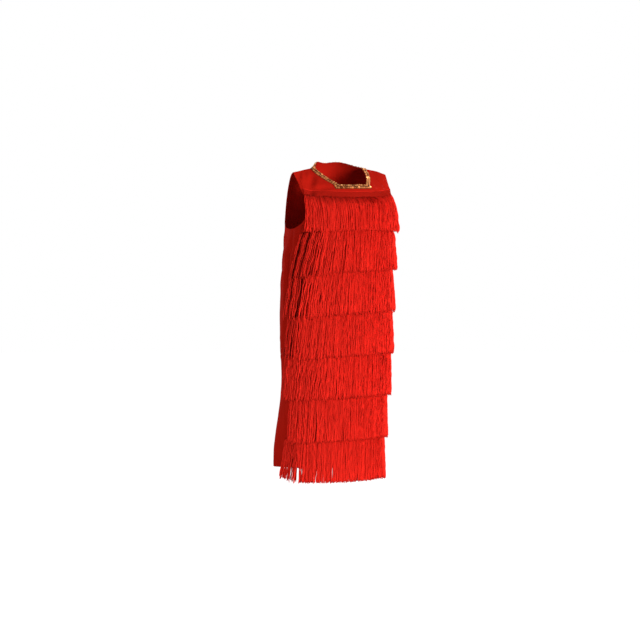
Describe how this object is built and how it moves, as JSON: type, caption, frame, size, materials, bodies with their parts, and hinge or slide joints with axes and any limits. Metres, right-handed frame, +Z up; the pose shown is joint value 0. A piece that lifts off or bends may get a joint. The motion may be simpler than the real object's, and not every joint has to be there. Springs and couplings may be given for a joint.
{
  "type": "flapper dress",
  "caption": "Child's sleeveless costume dress in its worn form: a straight red shift with tiers of fringe across the front and gold sequin braid round a square neckline.",
  "frame": {"origin": "midway between the two points where the neckline meets the shoulder seams, the place that rests on the wearer's shoulders", "axes": "+Z up towards the wearer's head, -Y towards the front of the dress, +X towards the wearer's left"},
  "size_m": [0.3175, 0.2248, 0.7689],
  "materials": {
    "red_cloth": "plain-weave polyester with a slight sheen",
    "red_fringe": "glossy rayon chainette fringe",
    "gold_sequins": "small gold sequins on a braid"
  },
  "bodies": {
    "root": {"front": "red_cloth", "back": "red_cloth", "fringe_tier_1": "red_fringe", "fringe_tier_2": "red_fringe", "fringe_tier_3": "red_fringe", "fringe_tier_4": "red_fringe", "fringe_tier_5": "red_fringe", "fringe_tier_6": "red_fringe", "fringe_tier_7": "red_fringe", "neck_trim_front": "gold_sequins", "neck_trim_back": "gold_sequins"}
  },
  "joints": []
}
